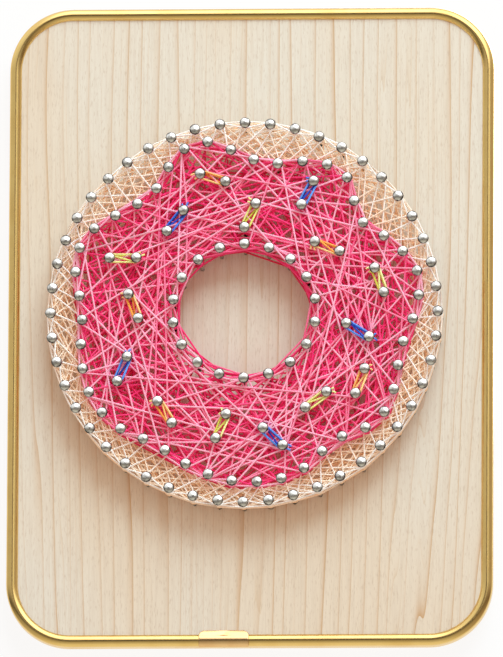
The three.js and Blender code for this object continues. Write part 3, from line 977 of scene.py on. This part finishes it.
def screw_shape():
    """A pan-head screw, as a turned shape whose head has a cross pressed into it. The cross's depth at a corner of
    the head falls to nothing at the arms' sides and ends."""
    low, high = box_of("hanger_screw")
    head = (high[0] - low[0]) / 2
    back, seat, point = FACE - high[1], FACE - high[1] + SCREW_HEAD_DEPTH, FACE - low[1]
    slope = np.linspace(0, np.pi / 2, 12)
    dome = [(head * math.sin(q), back + (seat - back) * (1 - math.cos(q)) * 0.85) for q in slope[1:]]
    middle = [(share * dome[0][0], back) for share in np.linspace(0.1, 0.9, 7)]
    shank = [(head, seat), (SCREW_SHANK, seat), (SCREW_SHANK, point - SCREW_SHANK)]
    points, faces = turned([(0, back), *middle, *dome, *shank, (0, point)], 64)
    radius = np.hypot(points[:, 0], points[:, 1])
    arms = [np.clip(1 - (np.abs(points[:, axis]) / CROSS_ARM) ** 4, 0, 1) for axis in (0, 1)]
    cross = np.maximum(*arms) * np.clip((CROSS_REACH - radius) / (0.5 * MM), 0, 1)
    points[:, 2] += CROSS_DEPTH * cross * (points[:, 2] < seat - 0.2 * MM)
    place = [(low[0] + high[0]) / 2, (low[2] + high[2]) / 2, 0]
    return points + place, faces


points, faces = screw_shape()
piece("strap_screw", in_frame(points), faces, ZINC, "hanger_screw", crease=45)


# ---------------------------------------------------------------- stage, light and camera

BELOW = math.radians(12)
ASIDE = math.radians(3)
ROLL = math.radians(0.32)
DISTANCE = 7.5
VIEW_HEIGHT = 0.246
AIM = RIM_MIDDLE + np.array([0.17, 0, -0.34]) * MM

camera_data = bpy.data.cameras.new("camera")
camera_data.sensor_width = 36
camera_data.lens = 36 * DISTANCE / VIEW_HEIGHT
camera_data.clip_end = 100
camera = bpy.data.objects.new("camera", camera_data)
backwards = Vector((
    math.sin(ASIDE) * math.cos(BELOW), -math.cos(ASIDE) * math.cos(BELOW), -math.sin(BELOW)
))
camera.location = Vector(AIM) + DISTANCE * backwards
camera.rotation_euler = (Quaternion(backwards, ROLL) @ backwards.to_track_quat("Z", "Y")).to_euler()
bpy.context.scene.collection.objects.link(camera)
bpy.context.scene.camera = camera
bpy.context.scene.view_settings.view_transform = "Standard"


def stage_sheet(name, corners, lit):
    """A large flat white sheet that is seen from its front alone, and that throws no light back on the object.
    Only a part of its brightness comes from the light that falls on it, so that shadows on it stay faint."""
    mesh = bpy.data.meshes.new(name)
    mesh.from_pydata(corners, [], [(0, 1, 2, 3)])
    material = bpy.data.materials.new(name)
    material.use_nodes = True
    graph = Graph(material.node_tree)
    glow = graph.add("Emission", inputs={"Color": (1, 1, 1, 1), "Strength": 1.0})
    paper = graph.add("BsdfDiffuse", inputs={"Color": (0.94, 0.94, 0.94, 1)})
    front = graph.add("MixShader", inputs={0: lit, 1: glow, 2: paper})
    behind = graph.add("NewGeometry", output="Backfacing")
    clear = graph.add("BsdfTransparent")
    graph.add("OutputMaterial", inputs={
        "Surface": graph.add("MixShader", inputs={0: behind, 1: front, 2: clear})
    })
    mesh.materials.append(material)
    sheet = bpy.data.objects.new(name, mesh)
    bpy.context.scene.collection.objects.link(sheet)
    sheet.visible_diffuse = False
    sheet.visible_glossy = False
    sheet.visible_transmission = False
    sheet.visible_shadow = False
    return sheet


FLOOR = RIM_MIDDLE[2] - 1.2
SPAN = 9.0
stage_sheet("floor", [(-SPAN, -SPAN, FLOOR), (SPAN, -SPAN, FLOOR), (SPAN, SPAN, FLOOR), (-SPAN, SPAN, FLOOR)], 0.4)
stage_sheet("wall", [(-SPAN, 0, FLOOR), (SPAN, 0, FLOOR), (SPAN, 0, FLOOR + SPAN), (-SPAN, 0, FLOOR + SPAN)], 0.12)


def soft_light(name, direction, distance, size, watts, colour):
    """A square soft light that faces the middle of the panel."""
    data = bpy.data.lights.new(name, "AREA")
    data.size = size
    data.energy = watts
    data.color = colour
    light = bpy.data.objects.new(name, data)
    away = Vector(direction).normalized()
    light.location = Vector(RIM_MIDDLE) + distance * away
    light.rotation_euler = away.to_track_quat("Z", "Y").to_euler()
    bpy.context.scene.collection.objects.link(light)
    return light


window = soft_light(
    "window", direction=(0.45, -1.0, 1.35), distance=2.6, size=1.7, watts=71, colour=(0.66, 0.9, 1.0)
)
window.visible_glossy = False
soft_light("behind", direction=(0.6, 1.6, 0.9), distance=2.0, size=1.2, watts=24, colour=(1.0, 0.97, 0.93))

# The camera sees a white world, and rough surfaces get an even warm fill. Mirrored is what shiny metal shows: a
# pale room with a dark band below level, dimmer on the right, bright at the back, with a dark patch straight in
# front of the panel and a bright pane high up in front.
world = bpy.data.worlds.new("studio")
world.use_nodes = True
bpy.context.scene.world = world
sky = Graph(world.node_tree)
side, forward, upward = sky.parts(sky.add("TexCoord", output="Generated"))
room = sky.add("ValToRGB", {"stops": [
    (0.0, (0.9, 0.84, 0.7, 1)), (0.14, (0.6, 0.55, 0.43, 1)), (0.28, (0.46, 0.42, 0.34, 1)),
    (0.4, (0.27, 0.24, 0.18, 1)), (0.45, (0.03, 0.028, 0.025, 1)), (0.5, (0.25, 0.23, 0.2, 1)),
    (0.6, (0.62, 0.6, 0.55, 1)), (0.75, (0.92, 0.92, 0.9, 1)), (1.0, (1.1, 1.1, 1.1, 1)),
]}, {0: upward * 0.5 + 0.5})
dimmer_right = sky.mix(side.between(0.1, 0.9) * 0.45, room, (0.3, 0.2, 0.14, 1))
bright_back = sky.mix(forward.between(0.1, 0.5), dimmer_right, (0.95, 0.9, 0.82, 1))
off_dark = (side * side + (upward - 0.2) * (upward - 0.2)).between(0.015, 0.05)
dark_ahead = sky.mix((1 - off_dark) * forward.between(0.2, -0.2), bright_back, (0.1, 0.075, 0.07, 1))
pane = ((side - 0.26) * (side - 0.26) + (upward - 0.78) * (upward - 0.78)).between(0.42, 0.08)
mirrored = sky.mix(pane * forward.between(0.0, -0.3), dark_ahead, (2.4, 2.4, 2.3, 1))
fill = (0.68, 0.52, 0.41, 1)
glossy = sky.add("LightPath", output="Is Glossy Ray")
seen = sky.add("LightPath", output="Is Camera Ray")
light = sky.mix(seen, sky.mix(glossy, fill, mirrored), (1.0, 1.0, 1.0, 1))
sky.add("OutputWorld", inputs={"Surface": sky.add("Background", inputs={"Color": light, "Strength": 1.0})})
